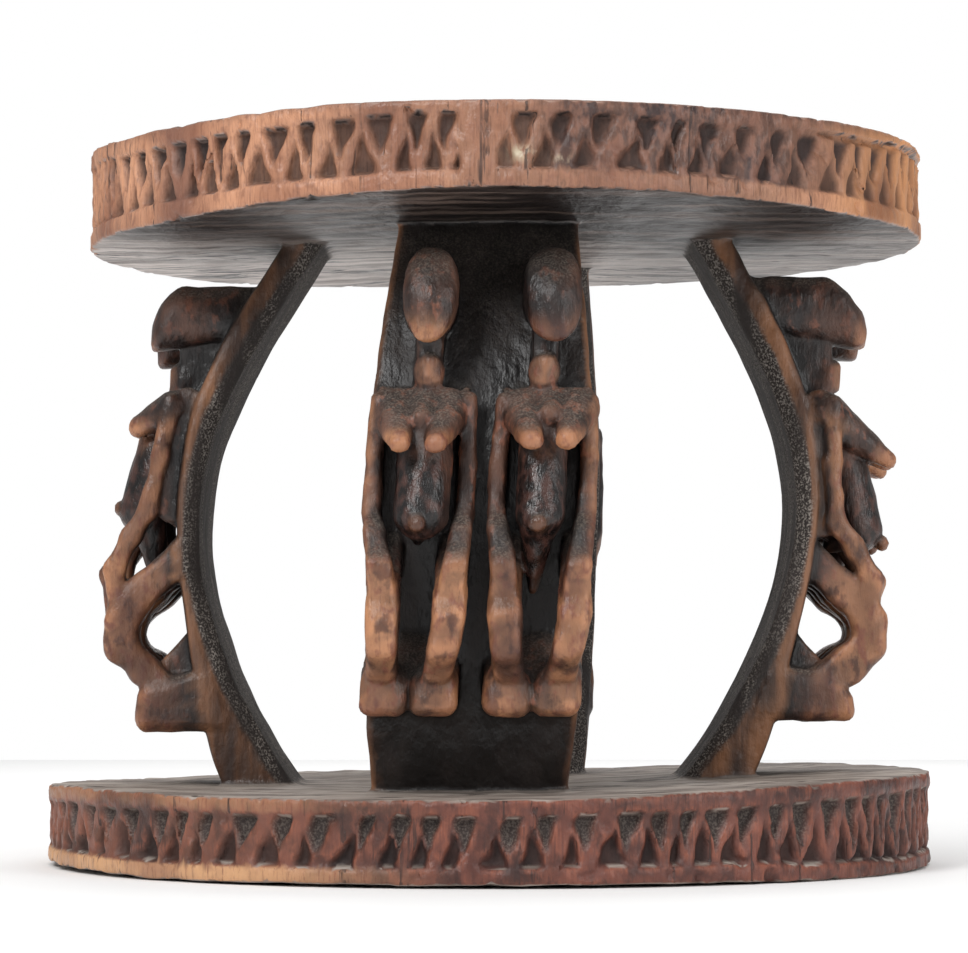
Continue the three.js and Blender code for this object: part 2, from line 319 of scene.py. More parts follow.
def arm_shape(p, side, knee_side, sign, s, further):
    """From the shoulder to the elbow and the hand on the knee, with a thin web behind the upper arm."""
    elbow_r, elbow_z = s["elbow"]
    hand_r, hand_z = s["hand"]
    hand_r = hand_r + further
    shoulder_z = s["chest"][1] + 3.0
    upper_r = (SHOULDER_REACH + elbow_r) / 2.0 - 0.4
    upper_z = (shoulder_z + elbow_z) / 2.0
    lower_r = (elbow_r + hand_r) / 2.0 + 0.6
    lower_z = (elbow_z + hand_z) / 2.0 + 1.5
    points = [(side - sign * 1.4, SHOULDER_REACH, shoulder_z, ARM_HALF, 4.2),
              (side + sign * 0.4, upper_r, upper_z, ARM_HALF - 0.2, 3.7),
              (side, elbow_r, elbow_z, ARM_HALF + 0.2, 4.0),
              ((side * 2 + knee_side) / 3.0, lower_r, lower_z, ARM_HALF + 0.9, 4.2),
              ((side + knee_side * 2) / 3.0, hand_r, hand_z, LEG_HALF - 1.4, 4.2),
              (knee_side, hand_r - 1.6, hand_z - 17.0, LEG_HALF - 0.9, 3.6)]
    arm = limb(p, points, 3.4, 4.0)
    web_side = side - sign * 1.9
    web_ends = [(web_side, 141.0, shoulder_z, 1.6, 7.0), (web_side, 144.0, elbow_z, 1.6, 7.0)]
    return smooth_min(arm, limb(p, web_ends, 1.0, 1.0), 1.2)


def leg_shape(p, side, s, further):
    """Thigh out to the knee and calf back to the ankle. side is its place at the knee and the foot."""
    knee = s["knee"] + further
    calf_r, calf_z, calf = s["calf"]
    high, low = side
    points = [(high, 138.0, 138.5, LEG_HALF - 0.8, 8.6),
              (high, 157.0, 122.0, LEG_HALF - 0.4, 6.7),
              (high, knee - 6.6, 108.5, LEG_HALF, 6.6),
              ((high * 2 + low) / 3.0, knee - 6.5, 97.6, LEG_HALF - 0.2, 6.5),
              ((high + low * 2) / 3.0, calf_r, calf_z, LEG_HALF - 0.6, calf),
              (low, 146.0, calf_z - 8.5, LEG_HALF, calf + 0.6)]
    return limb(p, points, 4.6, 6.0)


def foot_shape(p, side, s):
    """Block with rounded edges, whose front leans back by slope."""
    low, reach, slope, height = s["foot"]
    aside = np.abs(p[0] - side) - FOOT_HALF + FOOT_ROUND
    front = (p[1] - (reach - slope * (p[2] - low))) * 0.98 + FOOT_ROUND
    top = (p[2] - (low + height) - 0.30 * (reach - p[1])) * 0.95
    up = np.maximum(top, low - p[2]) + FOOT_ROUND
    outside = np.sqrt(np.maximum(aside, 0.0) ** 2 + np.maximum(front, 0.0) ** 2 + np.maximum(up, 0.0) ** 2)
    return outside + np.minimum(np.maximum(aside, np.maximum(front, up)), 0.0) - FOOT_ROUND


def ledge_shape(p, s):
    """The wood left standing between the two ankles."""
    low = s["foot"][0] + 3.0
    reach = s["foot"][1] - 7.0
    slant = (p[2] - 101.0 + 1.15 * (p[1] - 139.0)) * 0.66
    shape = smooth_max(np.abs(p[0]) - 9.0, slant, 1.5)
    return np.maximum(shape, np.maximum(low - p[2], p[1] - reach))


def figure_shape(t, r, z, s, index):
    inner, outer, _ = panel_faces(z)
    f = FIGURES[index]
    centre = FIGURE_SPACING * (-1, 1)[index] + s["figure_lean"] * (z - 115.0)
    p = (t - centre, r, z)
    further = s["further"][index]
    tip = s["tips"][index]

    head = head_shape(p, s["heads"][index], f["head"], s["dome"])
    beside = (p[0] - f["neck"], r, z)
    neck = neck_shape(beside, s["neck"][0], s["neck"][1], s["heads"][index][0] + 5.0)
    chest = chest_shape(p, s["chest"], tip, f["tips"])
    top, bottom = s["belly"]
    belly = belly_shape(p, top, bottom, f["belly"], f["point"])
    navel_r = np.interp(s["navel"], [bottom[1], top[1]], [bottom[0], top[0]])
    navel = ellipsoid(p, (f["belly"][0] - 1.2, navel_r + 10.3, s["navel"]), (3.7, 3.4, 3.7))

    body = smooth_min(neck, chest, 1.4)
    body = smooth_min(body, belly, 0.9)
    body = np.minimum(body, head)
    body = smooth_min(body, navel, 0.7)
    ankles = ledge_shape(p, s)
    for side, sign in zip((0, 1), (-1, 1)):
        leg = leg_shape(p, f["legs"][side], s, further * 0.7)
        foot = foot_shape(p, sign * FOOT_SIDE, s)
        arm = arm_shape(p, f["arms"][side], f["legs"][side][0], sign, s, further)
        ankles = smooth_min(ankles, smooth_min(leg, foot, 2.0), 0.9)
        body = smooth_min(body, arm, 0.8)
    body = smooth_min(body, ankles, 3.0)
    for strength, length, seed in FIGURE_MARKS:
        body = body + strength * waves(t, r, z, length, seed + s["quarter"])
    return np.maximum(body, (inner + outer) / 2.0 - r)


# Rims: the zigzag band as a change of radius
def disc_faces(u, v, which):
    """Heights of the lower and upper face, where u and v run from -1 to 1 across the disc."""
    if which == "seat":
        low = SEAT_UNDERSIDE - 4.6 * smooth_step(-u / 0.9) - 0.8 * smooth_step(u / 0.7)
        low = low + 2.6 * smooth_step((-v - 0.55) / 0.45)
        high = SEAT_TOP - 4.6 * smooth_step(-u / 0.88) * (1.0 - 0.5 * smooth_step((-u - 0.86) / 0.12))
        high = high - 2.0 * smooth_step(u / 0.8) * (1.0 - 0.8 * smooth_step((u - 0.84) / 0.12))
        return low, high
    low = LOWEST + 2.2 * smooth_step((-u - 0.55) / 0.45) + 0.6 * smooth_step((u - 0.84) / 0.16)
    low = low + 1.3 * smooth_step((-v - 0.62) / 0.3)
    high = BASE_TOP + 6.0 * smooth_step(u / 0.95)
    high = high + 1.6 * smooth_step((-u - 0.5) / 0.4) * smooth_step(-v / 0.5)
    high = high - 1.6 * smooth_step((-u - 0.3) / 0.7) * smooth_step(v / 0.5)
    return low, high


def rim_relief(angle, z, low, high, which):
    """How far the rim lies below its outline, and how deep in any pit and in an upper pit a place is."""
    look = RIMS[which]
    radius = SEAT_RADIUS if which == "seat" else BASE_RADIUS
    band_low = low + look["below"] + 0.5 * np.sin(5 * angle + 1.0) + 0.3 * np.sin(17 * angle)
    band_high = high - look["above"] + 0.5 * np.sin(4 * angle + 2.2) + 0.3 * np.sin(13 * angle)
    height = band_high - band_low
    v = (z - band_low) / height
    turn = angle + 0.045 * np.sin(2 * (angle - look["close_at"]))
    turn = turn + 0.012 * np.sin(11 * angle) + 0.008 * np.sin(23 * angle + 2.0)
    turn = turn + 0.006 * waves(radius * angle, 0.0 * angle, z, 14.0, look["seed"] + 5)
    phase = (turn * look["count"] / (2 * math.pi)) % 1.0
    pitch = 2 * math.pi * radius / look["count"]
    thick = 0.5 + 0.5 * np.cos(2 * (angle - look["thick_at"]))
    share = 0.50 + 0.12 * thick
    on_ridge = np.maximum(v, RIDGE_FOOT)
    below_foot = (on_ridge - v) * height

    def away(line, leg):
        """Distance to a slanting ridge whose middle is at line and which is leg wide sideways."""
        gap = np.abs((phase - line + 0.5) % 1.0 - 0.5)
        return np.hypot(gap * pitch * height / np.hypot(leg, height), below_foot)

    unlike = 0.45 * np.sin(31 * angle + 0.7) + 0.35 * np.sin(47 * angle)
    rising = away(on_ridge * share, pitch * share)
    rising = rising - (THIN_RIDGE + (THICK_RIDGE - THIN_RIDGE) * thick + unlike)
    falling = away(1.0 - on_ridge * (1.0 - share), pitch * (1.0 - share))
    falling = falling - (THIN_RIDGE + (WEAK_RIDGE - THIN_RIDGE) * thick)
    from_ridge = smooth_min(rising, falling, 1.2)
    from_border = np.minimum(v, 1.0 - v) * height
    pit = smooth_step(smooth_min(from_ridge, from_border + 0.4, 1.2) / PIT_SLOPE)
    above_ridge = (phase < share) & (v > phase / share)
    above_ridge = above_ridge | ((phase >= share) & (v > (1.0 - phase) / (1.0 - share)))

    worn = np.exp(-((angle - look["worn_at"] + math.pi) % (2 * math.pi) - math.pi) ** 2 / 0.30)
    depth = (PIT_DEPTH - WORN_DOWN * worn) * pit
    depth = depth + RIDGE_DROP * smooth_step(from_border / 2.5)
    if which == "seat":
        from_front = (angle - FRONT + math.pi) % (2 * math.pi) - math.pi
        plain = between(from_front, PLAIN_PLACE[0], 0.012, PLAIN_PLACE[1], 0.05)
        depth = depth * (1.0 - plain)
        pit = pit * (1.0 - plain)
        along = between(from_front, SPLIT_ANGLES[0], 0.25, SPLIT_ANGLES[1], 0.1)
        split = 1.0 - smooth_step(np.abs(z - band_high - 0.4) / SPLIT_HALF_HEIGHT - 0.35)
        depth = depth + SPLIT_DEPTH * split * along
        from_crack = np.abs(from_front - PLAIN_PLACE[0]) * radius
        depth = depth + CRACK_DEPTH * (1.0 - smooth_step(from_crack / CRACK_HALF_WIDTH))
    return depth, pit, pit * above_ridge


def disc_shape(x, y, z, which):
    """Distance to a disc that isn't quite round, and the two pit depths of its rim."""
    radius = SEAT_RADIUS if which == "seat" else BASE_RADIUS
    dx = x - (SEAT_CENTRE_X if which == "seat" else 0.0)
    seed = RIMS[which]["seed"]
    rho = np.hypot(dx, y)
    angle = np.arctan2(y, dx)
    low, high = disc_faces(dx / radius, y / radius, which)
    if which == "seat":
        flat = 0.8 - 0.8 * np.cos(3 * angle + 0.6) + 0.4 * np.cos(7 * angle + 1.0)
    else:
        flat = 0.6 - 0.6 * np.cos(3 * angle + 2.0) + 0.4 * np.cos(5 * angle)
    uneven = 0.0
    for index, (strength, length) in enumerate(RIM_MARKS):
        uneven = uneven + waves(x, y, z, length, seed + index) * strength
    depth, pit, upper = rim_relief(angle, z, low, high, which)
    rim = rho - (radius - RIM_INSET - np.maximum(flat, 0.0) - np.maximum(uneven, -0.3) - depth)
    chisel = 0.30 * waves(x, y, 0.0 * z, 20.0, seed + 2) + 0.16 * waves(x * 0.3, y, 0.0 * z, 7.0, seed + 3)
    chips = np.maximum(waves(x, y, z, 10.0, seed + 4) - 0.75, 0.0) * 2.6
    d = smooth_max(z - high + 0.3 - np.minimum(chisel, 0.3), low - np.minimum(chisel, 0.3) - z, FACE_EDGE)
    d = smooth_max(d, rim, RIM_EDGE)
    edge = smooth_step((rho - radius + 9.0) / 6.0)
    return d + chips * edge, pit, upper


# Distance field of the whole stool
def grid_axes():
    return [np.arange(GRID_LOW[i], GRID_HIGH[i] + VOXEL, VOXEL).astype(np.float32) for i in range(3)]


def block_range(axis, low, high):
    start = int(np.searchsorted(axis, low))
    stop = int(np.searchsorted(axis, high))
    return slice(max(start, 0), min(stop, len(axis)))


def local_coordinates(x, y, z, s):
    shift = s["shift"] + s["lean"] * z
    if s["quarter"] == 0:
        return x - shift, -y
    if s["quarter"] == 1:
        return y, x - shift
    if s["quarter"] == 2:
        return -(x - shift), y
    return -y, -(x - shift)


def support_block(axes, s):
    near, far, half = 62.0, 196.0, 60.0
    middle = s["shift"] + 150.0 * s["lean"]
    ranges = {
        0: ((middle - half, middle + half), (-far, -near)),
        1: ((near, far), (-half, half)),
        2: ((middle - half, middle + half), (near, far)),
        3: ((-far, -near + 12.0), (-half, half)),
    }[s["quarter"]]
    return (block_range(axes[0], *ranges[0]), block_range(axes[1], *ranges[1]),
            block_range(axes[2], 26.0, 296.0))


def build_field(axes):
    ax, ay, az = axes
    field = np.full((len(ax), len(ay), len(az)), 30.0, np.float32)
    for which, z_range in (("base", (-10.0, 52.0)), ("seat", (264.0, 330.0))):
        zs = block_range(az, *z_range)
        x = ax[:, None, None]
        y = ay[None, :, None]
        z = az[zs][None, None, :]
        d, _, _ = disc_shape(x, y, z, which)
        field[:, :, zs] = np.minimum(field[:, :, zs], d.astype(np.float32))
    for s in SUPPORTS:
        bx, by, bz = support_block(axes, s)
        x, y, z = np.meshgrid(ax[bx], ay[by], az[bz], indexing="ij")
        t, r = local_coordinates(x, y, z, s)
        d = panel_shape(t, r, z)
        strength, length, seed = PANEL_MARKS
        d = d + strength * waves(x, y, z * 0.5, length, seed + s["quarter"])
        for index, sign in enumerate((-1, 1)):
            near = (np.abs(t - sign * FIGURE_SPACING) < 32.0) & (z > 50.0) & (z < 272.0) & (r > 85.0)
            body = figure_shape(t[near], r[near], z[near], s, index)
            d[near] = smooth_min(d[near], body, 1.2)
        field[bx, by, bz] = smooth_min(field[bx, by, bz], d.astype(np.float32), 3.0)
    z = az[None, None, :]
    return np.maximum(field, np.maximum(LOWEST - z, z - HIGHEST))


# Closed mesh through the zero level of the field
CORNERS = [(i, j, k) for i in (0, 1) for j in (0, 1) for k in (0, 1)]


def surface_of(field):
    inside = field < 0.0
    count = np.zeros(tuple(n - 1 for n in field.shape), np.uint8)
    for i, j, k in CORNERS:
        count += inside[i:i + count.shape[0], j:j + count.shape[1], k:k + count.shape[2]]
    active = (count > 0) & (count < 8)
    cells = np.argwhere(active)
    number = np.full(count.shape, -1, np.int32)
    number[active] = np.arange(len(cells), dtype=np.int32)
    place = np.zeros((len(cells), 3))
    crossings = np.zeros(len(cells))
    for a in CORNERS:
        for axis in range(3):
            if a[axis] == 1:
                continue
            b = list(a)
            b[axis] = 1
            fa = field[cells[:, 0] + a[0], cells[:, 1] + a[1], cells[:, 2] + a[2]]
            fb = field[cells[:, 0] + b[0], cells[:, 1] + b[1], cells[:, 2] + b[2]]
            cross = (fa < 0) != (fb < 0)
            share = np.where(cross, fa / np.where(fa == fb, 1.0, fa - fb), 0.0)
            point = np.repeat(np.array(a, float)[None, :], len(cells), 0)
            point[:, axis] = share
            place += point * cross[:, None]
            crossings += cross
    verts = GRID_LOW + VOXEL * (cells + place / crossings[:, None])

    faces = []
    for axis in range(3):
        one = (axis + 1) % 3
        two = (axis + 2) % 3
        first = [slice(1, -1)] * 3
        second = [slice(1, -1)] * 3
        first[axis] = slice(0, -1)
        second[axis] = slice(1, None)
        a = inside[tuple(first)]
        b = inside[tuple(second)]
        edges = np.argwhere(a != b)
        outward = a[tuple(edges.T)]
        node = edges.copy()
        node[:, one] += 1
        node[:, two] += 1
        ring = []
        for step_one, step_two in ((-1, -1), (0, -1), (0, 0), (-1, 0)):
            cell = node.copy()
            cell[:, one] += step_one
            cell[:, two] += step_two
            ring.append(number[tuple(cell.T)])
        ring = np.stack(ring, 1)
        ring[~outward] = ring[~outward][:, ::-1]
        faces.append(ring)
    return verts, np.concatenate(faces)


def mesh_from(name, verts, quads):
    mesh = bpy.data.meshes.new(name)
    mesh.vertices.add(len(verts))
    mesh.vertices.foreach_set("co", (verts / 1000.0).astype(np.float32).ravel())
    mesh.loops.add(len(quads) * 4)
    mesh.loops.foreach_set("vertex_index", quads.astype(np.int32).ravel())
    mesh.polygons.add(len(quads))
    mesh.polygons.foreach_set("loop_start", np.arange(0, len(quads) * 4, 4, dtype=np.int32))
    mesh.update(calc_edges=True)
    mesh.validate()
    return mesh


def box_blur(values, cells):
    """Mean over a cube of 2 * cells + 1 voxels."""
    result = values
    for axis in range(3):
        padded = np.concatenate([np.repeat(result.take([0], axis), cells + 1, axis), result,
                                 np.repeat(result.take([-1], axis), cells, axis)], axis)
        total = np.cumsum(padded, axis, dtype=np.float32)
        width = 2 * cells + 1
        high = [slice(None)] * 3
        low = [slice(None)] * 3
        high[axis] = slice(width, None)
        low[axis] = slice(0, -width)
        result = (total[tuple(high)] - total[tuple(low)]) / width
    return result


def sample(values, points):
    """Trilinear reading of a field at points in millimetres."""
    q = (points - GRID_LOW) / VOXEL
    base = np.clip(np.floor(q).astype(int), 0, np.array(values.shape) - 2)
    f = q - base
    total = np.zeros(len(points))
    for i, j, k in CORNERS:
        weight = np.abs(1 - i - f[:, 0]) * np.abs(1 - j - f[:, 1]) * np.abs(1 - k - f[:, 2])
        total += weight * values[base[:, 0] + i, base[:, 1] + j, base[:, 2] + k]
    return total


def sculpt(field):
    """The stool as one object, thinned out to the number of triangles allowed."""
    verts, quads = surface_of(field)
    raw = mesh_from("stool_raw", verts, quads)
    stool = bpy.data.objects.new("carved_stool", raw)
    bpy.context.scene.collection.objects.link(stool)
    reduce = stool.modifiers.new("reduce", "DECIMATE")
    reduce.ratio = min(1.0, MOST_TRIANGLES / (2.0 * len(quads)))
    bpy.context.view_layer.update()
    shape = bpy.data.meshes.new_from_object(stool.evaluated_get(bpy.context.evaluated_depsgraph_get()))
    stool.modifiers.clear()
    stool.data = shape
    bpy.data.meshes.remove(raw)
    shape.name = "carved_stool"
    shape.shade_smooth()
    return stool


# Masks on the vertices, for the material
FIELD_LIMIT = 6.0
WEAR_SPAN = 2.0
HOLLOW_SPAN = 6.5
RIM_WIDTH = 8.0


def vertex_vectors(shape, name):
    values = np.empty(len(shape.vertices) * 3, np.float32)
    shape.vertices.foreach_get(name, values)
    return values.reshape(-1, 3).astype(float)


def relief_masks(field, points):
    """Edges that stand out and get worn, and hollows darkened with painted shade."""
    clipped = np.clip(field, -FIELD_LIMIT, FIELD_LIMIT)
    near_mean = sample(box_blur(clipped, max(1, round(WEAR_SPAN / VOXEL))), points)
    wide_mean = sample(box_blur(clipped, max(1, round(HOLLOW_SPAN / VOXEL))), points)
    return smooth_step((near_mean - 0.10) / 0.9), smooth_step((-wide_mean + 0.1) / 2.2)


def figure_masks(t, r, z, outer, s):
    """How far a place stands out as relief, kept dark under the chin as painted shade, is rubbed by hands, or
    belongs to a belly.
    """
    raised = r - outer
    from_middle = np.abs(np.abs(t) - FIGURE_SPACING)
    tip_r, tip_z = s["tips"][0][:2]
    chin_z = s["heads"][0][0]
    face_r = s["heads"][0][2]
    neck_r, knob_z = s["neck"]

    low_limb = smooth_step((141.0 - z) / 22.0) * smooth_step((raised - 7.0) / 6.0)
    low_limb = low_limb * smooth_step((from_middle - 5.0) / 3.0)
    low_limb = low_limb * (1.0 - 0.35 * smooth_step((104.0 - z) / 18.0))
    foot = smooth_step((84.0 - z) / 6.0) * smooth_step((r - 150.0) / 4.0)
    tips = smooth_step((r - tip_r + 9.0) / 7.0) * between(z, tip_z - 7.0, 4.0, tip_z + 9.0, 6.0)
    arms = smooth_step((np.abs(t) - 43.5) / 2.5) * smooth_step((raised - 3.0) / 3.0)
    arms = arms * between(z, 120.0, 10.0, 204.0, 8.0)
    chin = smooth_step((r - face_r + 8.0) / 5.0) * between(z, chin_z - 2.0, 3.0, chin_z + 15.0, 10.0)
    knob = smooth_step((r - neck_r + 5.0) / 3.0) * (1.0 - smooth_step((np.abs(z - knob_z) - 4.0) / 3.0))
    knob = knob * (from_middle < 9.0)
    navel = 1.0 - smooth_step((np.hypot(from_middle, z - s["navel"]) - 3.0) / 1.6)
    navel = navel * smooth_step((raised - 14.0) / 3.0)
    rubbed = low_limb + 0.20 * foot + tips + 0.6 * arms + 0.65 * chin + 0.42 * knob + 0.30 * navel

    # Painted shade in the recess under the chin: the relief's paler tones are held back there
    under_chin_shade = (1.0 - smooth_step((np.abs(z - chin_z + 1.0) - 4.0) / 4.0)) * (r < face_r - 6.0)
    belly = (1.0 - smooth_step((from_middle - 9.0) / 2.5)) * smooth_step((raised - 4.0) / 3.0)
    belly = belly * between(z, 112.0, 4.0, tip_z - 3.0, 4.0)
    return {
        "relief": smooth_step((raised - 1.5) / 5.0) * (1.0 - 0.8 * under_chin_shade),
        "polish": np.clip(rubbed, 0.0, 1.0),
        "belly": belly,
    }


def support_masks(px, py, pz, off_discs):
    """The figures' masks, and where the supports' inner faces and side strips are."""
    masks = {name: np.zeros(len(pz)) for name in ("inner_face", "side_strip", "relief", "polish", "belly")}
    inner, outer, half = panel_faces(pz)
    for s in SUPPORTS:
        t, r = local_coordinates(px, py, pz, s)
        here = (np.abs(t) < half + 6.0) & (r > inner - 6.0) & off_discs
        chamfer = np.abs(t) - half - (r - inner) + PANEL_CHAMFER
        grey = np.maximum(smooth_step((chamfer + 2.5) / 2.0), 1.0 - smooth_step((r - inner - 1.0) / 2.0))
        strip = smooth_step((np.abs(t) - half + 3.0) / 2.5) * (1.0 - smooth_step((r - outer - 1.0) / 2.0))
        found = figure_masks(t, r, pz, outer, s)
        found["inner_face"] = grey
        found["side_strip"] = strip * (1.0 - grey)
        for name, values in found.items():
            masks[name] = np.where(here, values, masks[name])
    return masks


def border_masks(z, low, high, which):
    """The plain borders below and above a rim's zigzag band."""
    below = 1.0 - smooth_step(z - low - RIMS[which]["below"] + 0.5)
    above = smooth_step(z - high + RIMS[which]["above"] - 0.5)
    return below, above


def seat_rim_tones(px, py, pz):
    """Where the seat's rim is dark with smoke, rubbed golden, and crusted, by angle from the front."""
    dx = px - SEAT_CENTRE_X
    from_front = np.arctan2(dx, -py)
    low, high = disc_faces(dx / SEAT_RADIUS, py / SEAT_RADIUS, "seat")
    low_border, high_border = border_masks(pz, low, high, "seat")
    middle_dark = between(from_front, -0.62, 0.35, 1.25, 0.5)
    right_dark = between(from_front, 0.02, 0.12, 0.88, 0.3)
    darkening = (0.42 * middle_dark + 0.50 * right_dark) * (1.0 - low_border)
    darkening = darkening * (1.0 - high_border * (1.0 - smooth_step((from_front + 0.42) / 0.15)))
    darkening = darkening + 0.50 * low_border * between(from_front, -0.30, 0.3, 0.85, 0.3)
    darkening = darkening + 0.35 * smooth_step((pz - high + 3.2) / 2.4)
    gold = 0.75 * between(from_front, 0.72, 0.3, 2.2, 0.4)
    crust = np.exp(-((from_front - 0.035) / 0.030) ** 2 - ((pz - 298.5) / 2.6) ** 2)
    crust = crust + 0.6 * np.exp(-((from_front - 0.125) / 0.022) ** 2 - ((pz - 296.5) / 1.4) ** 2)
    return darkening, gold, crust


def underside_soot_and_shade(px, py):
    """The seat's underside is blackest towards the front and the right: sooty dirt together with painted
    shade under the seat.
    """
    dx = px - SEAT_CENTRE_X
    dark = 1.0 - smooth_step((py + 0.35 * np.abs(dx) + 60.0) / 125.0)
    return np.clip(dark + 0.55 * smooth_step((dx - 20.0) / 60.0), 0.0, 1.0)


def base_rim_gold(px, py, pz):
    """The base's borders are rubbed golden on the left, most of all the lower one."""
    from_front = np.arctan2(px, -py)
    low, high = disc_faces(px / BASE_RADIUS, py / BASE_RADIUS, "base")
    low_border, high_border = border_masks(pz, low, high, "base")
    return between(-from_front, 0.05, 0.6, 2.6, 0.6) * (low_border + 0.30 * high_border + 0.06)


def add_masks(shape, field):
    """Stores every mask as an attribute of the mesh."""
    points = vertex_vectors(shape, "co") * 1000.0
    px, py, pz = points.T
    facing_up = vertex_vectors(shape, "normal")[:, 2]
    wear, painted_recess_shade = relief_masks(field, points)

    dx = px - SEAT_CENTRE_X
    on_seat = pz > disc_faces(dx / SEAT_RADIUS, py / SEAT_RADIUS, "seat")[0] - 0.8
    on_base = pz < disc_faces(px / BASE_RADIUS, py / BASE_RADIUS, "base")[1] + 0.6
    steep = np.abs(facing_up) < 0.8
    seat_rim = on_seat & (np.hypot(dx, py) > SEAT_RADIUS - RIM_WIDTH) & steep
    base_rim = on_base & (np.hypot(px, py) > BASE_RADIUS - RIM_WIDTH) & steep
    seat_below = on_seat & ~seat_rim & (facing_up < 0.0)
    _, seat_pits, seat_upper = disc_shape(px, py, pz, "seat")
    _, base_pits, base_upper = disc_shape(px, py, pz, "base")
    darkening, gold, crust = seat_rim_tones(px, py, pz)

    masks = support_masks(px, py, pz, ~on_seat & ~on_base)
    masks["wear"] = wear
    # Painted shade in the hollows
    masks["painted_recess_shade"] = painted_recess_shade
    masks["seat"] = on_seat
    masks["base"] = on_base
    masks["rim"] = seat_rim | base_rim
    masks["pit"] = seat_rim * seat_pits + base_rim * base_pits
    masks["upper_pit"] = seat_rim * seat_upper + base_rim * base_upper
    # Smoke on the rim; on the underside, sooty dirt together with painted shade
    masks["darkening"] = seat_rim * darkening + seat_below * underside_soot_and_shade(px, py)
    masks["gold"] = seat_rim * gold + base_rim * base_rim_gold(px, py, pz)
    masks["crust"] = seat_rim * crust
    masks["dust"] = smooth_step((facing_up - 0.25) / 0.6) * (1.0 - 0.75 * masks["polish"])
    for name, values in masks.items():
        layer = shape.attributes.new(name, "FLOAT", "POINT")
        layer.data.foreach_set("value", np.asarray(values, np.float32))


# Colours of the wood as they look on a screen, from 0 to 255: pairs from dark to pale
TONES = {
    "panel": ((10, 7, 8), (30, 22, 20)),
    "relief": ((34, 23, 21), (100, 70, 58)),
    "belly": ((16, 12, 12), (70, 46, 40)),
    "side_strip": ((60, 42, 34), (142, 98, 68)),
    "rubbed": ((132, 84, 62), (204, 146, 104)),
    "dust": ((66, 60, 56), (128, 118, 108)),
    "inner_face": ((46, 39, 36), (150, 142, 134)),
    "seat_rim": ((140, 92, 70), (208, 152, 118)),
    "seat_honey": ((140, 90, 58), (204, 142, 92)),
    "seat_smoke": ((52, 34, 32), (116, 80, 66)),
    "underside": ((112, 98, 92), (226, 214, 208)),
    # Sooty dirt and painted shade on the seat's underside
    "underside_soot_and_shade": ((30, 22, 20), (104, 88, 80)),
    "seat_top": ((78, 54, 44), (122, 88, 70)),
    "base_rim": ((46, 23, 20), (110, 62, 50)),
    "base_gold": ((150, 106, 82), (206, 158, 116)),
    "base_top": ((104, 92, 84), (172, 160, 150)),
    # Sooty dirt and painted shade in the rims' pits
    "pit_soot_and_shade": ((40, 26, 25), (72, 50, 44)),
    "settled_dust": ((70, 58, 54), (142, 130, 120)),
}

# Single colours laid over them
TINTS = {
    "relief_warm": (124, 78, 60),
    "relief_black": (22, 15, 14),
    "rubbed_dark": (120, 72, 56),
    "rubbed_grain": (112, 68, 50),
    "rubbed_cuts": (84, 50, 42),
    "worn_edge": (150, 98, 68),
    "inner_dark": (46, 38, 35),
    "seat_brown": (128, 88, 72),
    "seat_grain": (118, 76, 56),
    "seat_stain": (104, 66, 54),
    "crust": (196, 184, 158),
    "underside_stain": (98, 78, 66),
    "underside_crack": (46, 36, 32),
    "seat_top_crack": (46, 32, 27),
    "base_worn": (146, 84, 62),
    "base_cuts": (44, 24, 21),
    "base_gold_grain": (120, 78, 58),
    "base_top_crack": (62, 52, 46),
    "tick": (44, 28, 24),
    # Painted shade laid over the hollows
    "painted_recess_shade": (18, 13, 12),
}


def colour(screen):
    """A screen colour as the shader wants it."""
    def linear(value):
        value = value / 255.0
        return value / 12.92 if value <= 0.04045 else ((value + 0.055) / 1.055) ** 2.4
    return tuple(linear(value) for value in screen) + (1.0,)


